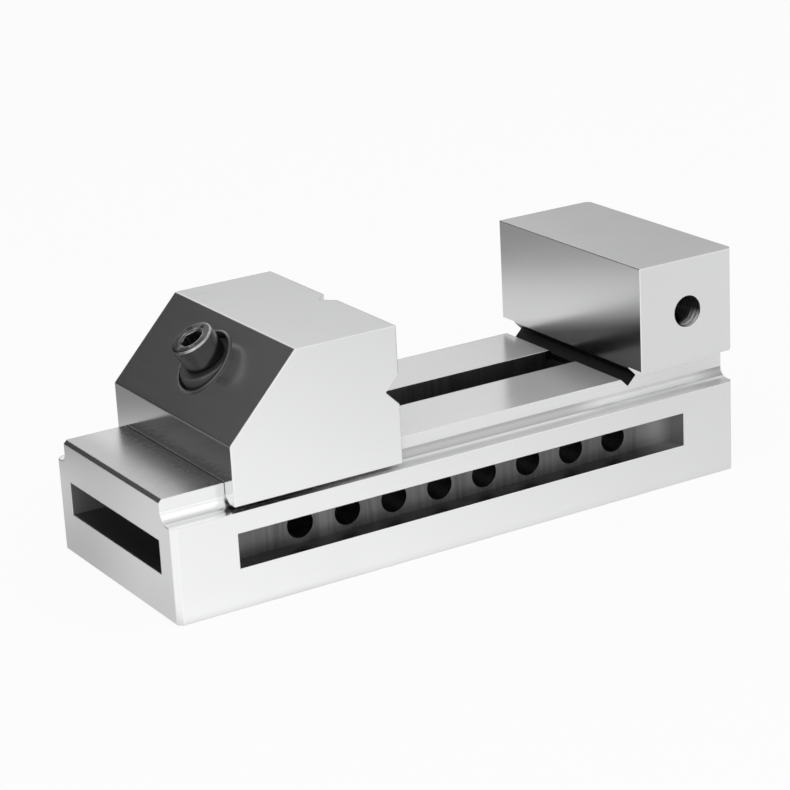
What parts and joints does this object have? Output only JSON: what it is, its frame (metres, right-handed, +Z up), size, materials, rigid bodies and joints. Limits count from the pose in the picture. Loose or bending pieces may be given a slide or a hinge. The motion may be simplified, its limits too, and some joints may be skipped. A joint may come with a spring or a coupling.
{
  "type": "quick-acting machine vise",
  "caption": "Ground steel toolmaker's vise: fixed jaw in one piece with its slotted base, sliding jaw drawn down by a slanted socket-head screw.",
  "frame": {"origin": "middle of the underside of the base, on the surface the vise stands on", "axes": "+X along the base from the open end to the fixed jaw, +Z up, -Y towards the side seen in the picture"},
  "size_m": [0.1914, 0.073, 0.0705],
  "materials": {
    "ground_steel_body": "satin ground",
    "ground_steel_jaw": "satin ground",
    "dark_steel_plate": "hardened, dark",
    "black_oxide_screw": "black oxide",
    "steel_washer": "turned",
    "steel_nut": "turned"
  },
  "bodies": {
    "base": {"vise_body": "ground_steel_body"},
    "slider": {"moving_jaw": "ground_steel_jaw", "keeper_plate": "dark_steel_plate", "keeper_screw_front": "black_oxide_screw", "keeper_screw_back": "black_oxide_screw"},
    "swivel": {"swivel_washer": "steel_washer"},
    "screw": {"pull_down_screw": "black_oxide_screw"},
    "nut": {"cross_nut": "steel_nut"}
  },
  "joints": [
    {"name": "jaw_slide", "type": "slide", "parent": "base", "child": "slider", "axis": [1, 0, 0], "range_m": [-0.0154, 0.0827]},
    {"name": "screw_tilt", "type": "hinge", "parent": "slider", "child": "swivel", "pos_m": [-0.06133, 0, 0.05712], "axis": [0, 1, 0], "range_deg": [0, 6]},
    {"name": "screw_turn", "type": "hinge", "parent": "swivel", "child": "screw", "pos_m": [-0.06133, 0, 0.05712], "axis": [-0.5096, 0, 0.8604], "range_deg": [0, 720]},
    {"name": "nut_travel", "type": "slide", "parent": "swivel", "child": "nut", "axis": [0.5096, 0, -0.8604], "range_m": [0, 0.0026]}
  ],
  "couplings": [
    {"joint": "nut_travel", "follows": "screw_turn", "m_per_rad": 0.00019894}
  ]
}
